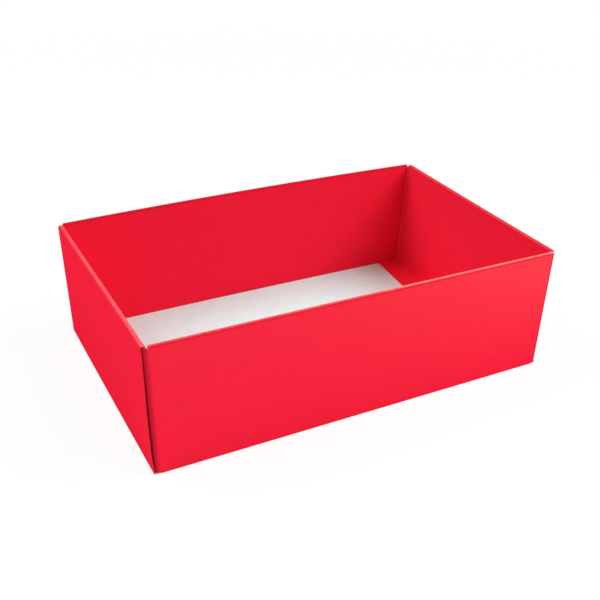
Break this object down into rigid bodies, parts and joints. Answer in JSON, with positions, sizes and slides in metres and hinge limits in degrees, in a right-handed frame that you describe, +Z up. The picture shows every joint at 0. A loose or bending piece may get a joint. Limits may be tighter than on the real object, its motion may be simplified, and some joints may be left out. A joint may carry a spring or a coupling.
{
  "type": "candy box base",
  "caption": "Open rectangular tray folded from one sheet of coated paperboard, with double walls and rolled end rims, that holds sweets.",
  "frame": {"origin": "centre of the underside of the floor, on the surface that the tray stands on", "axes": "+X along the long walls, +Y across the tray, +Z up out of the open top"},
  "size_m": [0.235, 0.145, 0.0705],
  "materials": {
    "red_board": "gloss-coated red print outside, plain white inside face on the floor"
  },
  "bodies": {
    "root": {"tray": "red_board"}
  },
  "joints": []
}
